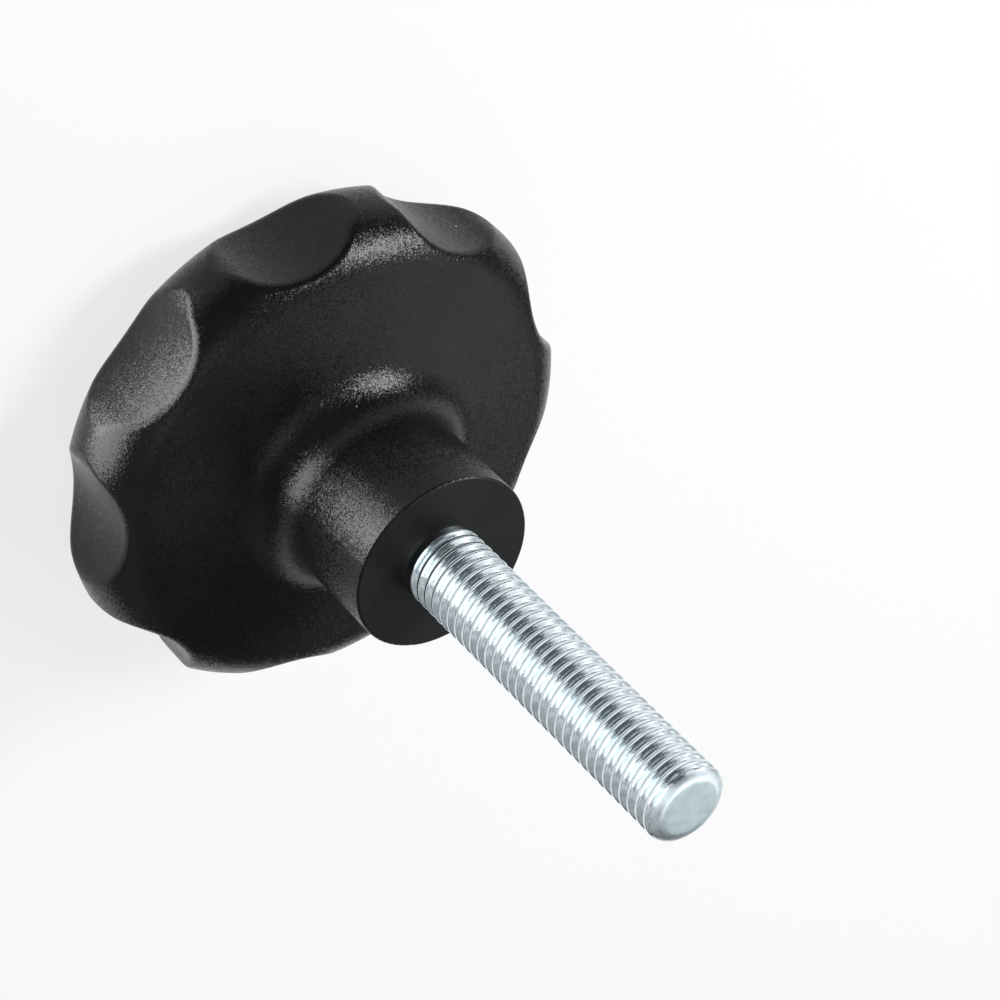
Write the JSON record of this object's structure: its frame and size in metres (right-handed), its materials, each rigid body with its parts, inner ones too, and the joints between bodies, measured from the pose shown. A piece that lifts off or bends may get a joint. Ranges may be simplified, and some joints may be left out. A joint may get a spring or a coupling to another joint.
{
  "type": "star knob",
  "caption": "Round star grip knob with finger recesses round its rim, a tall cylindrical hub and a threaded steel stud moulded in, for clamping by hand.",
  "frame": {"origin": "centre of the hub's flat end face, on the stud's axis", "axes": "+Z runs out along the stud, -Z points at the crown that the knob stands on, and one finger recess lies near +X"},
  "size_m": [0.0635, 0.0642, 0.0845],
  "materials": {
    "black_plastic": "fine moulded grain, matte",
    "zinc_plated_steel": "bright bluish zinc plating over a rolled thread"
  },
  "bodies": {
    "root": {"knob_body": "black_plastic", "threaded_stud": "zinc_plated_steel"}
  },
  "joints": []
}
